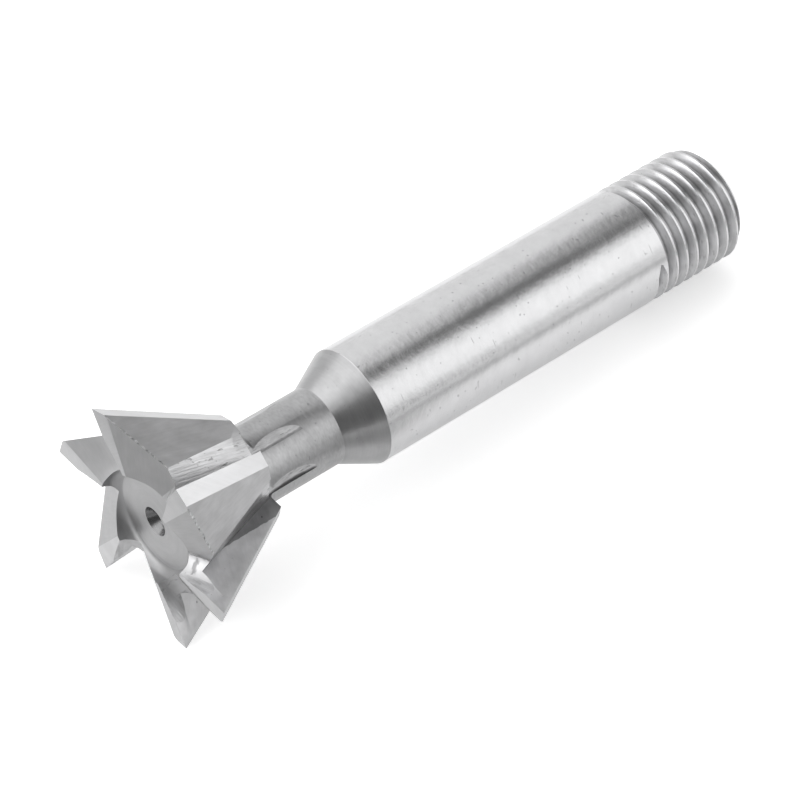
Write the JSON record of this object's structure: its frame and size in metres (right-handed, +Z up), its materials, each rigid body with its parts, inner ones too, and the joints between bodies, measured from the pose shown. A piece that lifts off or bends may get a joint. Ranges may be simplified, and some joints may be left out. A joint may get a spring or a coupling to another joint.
{
  "type": "dovetail cutter",
  "caption": "Dovetail milling cutter: a flared head of straight teeth with slanting cutting edges, on a slim neck and a straight round shank whose end is threaded.",
  "frame": {"origin": "centre of the footprint of the cutter lying at rest, at the height of the surface it lies on", "axes": "+X along the length, from the toothed head towards the threaded end; +Y across; +Z up. It lies on two neighbouring tooth tips and on the edge of its shank end, so its own axis falls by 4.0 degrees towards +X and runs in the plane y = 0."},
  "size_m": [0.071, 0.025, 0.0225],
  "materials": {
    "ground_steel": "ground high speed steel, satin"
  },
  "bodies": {
    "root": {"dovetail_cutter": "ground_steel"}
  },
  "joints": []
}
